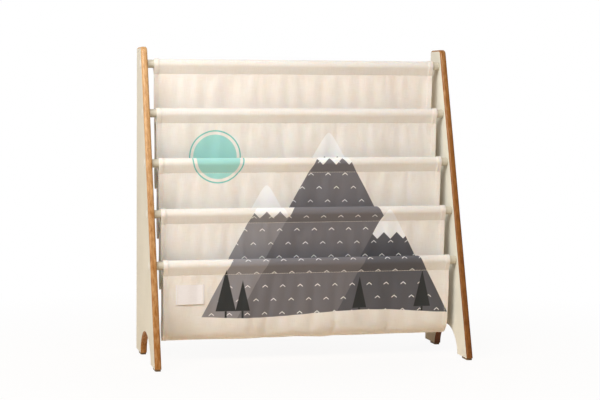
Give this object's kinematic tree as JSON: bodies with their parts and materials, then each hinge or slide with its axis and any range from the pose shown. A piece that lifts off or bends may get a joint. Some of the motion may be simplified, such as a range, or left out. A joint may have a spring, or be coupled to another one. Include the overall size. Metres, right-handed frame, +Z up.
{
  "type": "sling bookshelf",
  "caption": "Free-standing children's sling bookshelf: board sides joined by round rods, with a canvas sling hung over them in stepped book pockets.",
  "frame": {"origin": "on the floor, in the middle of the four feet", "axes": "+X to the right as seen from the front, +Y to the back, +Z up"},
  "size_m": [0.613, 0.2617, 0.594],
  "materials": {
    "side_panel": "cream-white satin paint on the faces, clear-finished bare wood on the round edges",
    "rod": "cream-white satin paint",
    "canvas": "cream plain-weave cotton canvas with a soft grey and mint print",
    "label": "bare woven white tape",
    "screw": "plain zinc",
    "insert": "turned brass",
    "cap": "moulded, cream",
    "foot_pad": "moulded, dark brown"
  },
  "bodies": {
    "root": {"left_side_panel": "side_panel", "right_side_panel": "side_panel", "dowel_rod_1": "rod", "dowel_rod_2": "rod", "dowel_rod_3": "rod", "dowel_rod_4": "rod", "dowel_rod_5": "rod", "threaded_insert_left_1": "insert", "threaded_insert_left_2": "insert", "threaded_insert_left_3": "insert", "threaded_insert_left_4": "insert", "threaded_insert_left_5": "insert", "rod_screw_left_1": "screw", "rod_screw_left_2": "screw", "rod_screw_left_3": "screw", "rod_screw_left_4": "screw", "rod_screw_left_5": "screw", "screw_cap_left_1": "cap", "screw_cap_left_2": "cap", "screw_cap_left_3": "cap", "screw_cap_left_4": "cap", "screw_cap_left_5": "cap", "foot_pad_front_left": "foot_pad", "foot_pad_rear_left": "foot_pad", "threaded_insert_right_1": "insert", "threaded_insert_right_2": "insert", "threaded_insert_right_3": "insert", "threaded_insert_right_4": "insert", "threaded_insert_right_5": "insert", "rod_screw_right_1": "screw", "rod_screw_right_2": "screw", "rod_screw_right_3": "screw", "rod_screw_right_4": "screw", "rod_screw_right_5": "screw", "screw_cap_right_1": "cap", "screw_cap_right_2": "cap", "screw_cap_right_3": "cap", "screw_cap_right_4": "cap", "screw_cap_right_5": "cap", "foot_pad_front_right": "foot_pad", "foot_pad_rear_right": "foot_pad", "rod_sleeve_1": "canvas", "rod_sleeve_2": "canvas", "rod_sleeve_3": "canvas", "rod_sleeve_4": "canvas", "rod_sleeve_5": "canvas", "canvas_pocket_1": "canvas", "canvas_pocket_2": "canvas", "canvas_pocket_3": "canvas", "canvas_pocket_4": "canvas", "canvas_label": "label"}
  },
  "joints": []
}
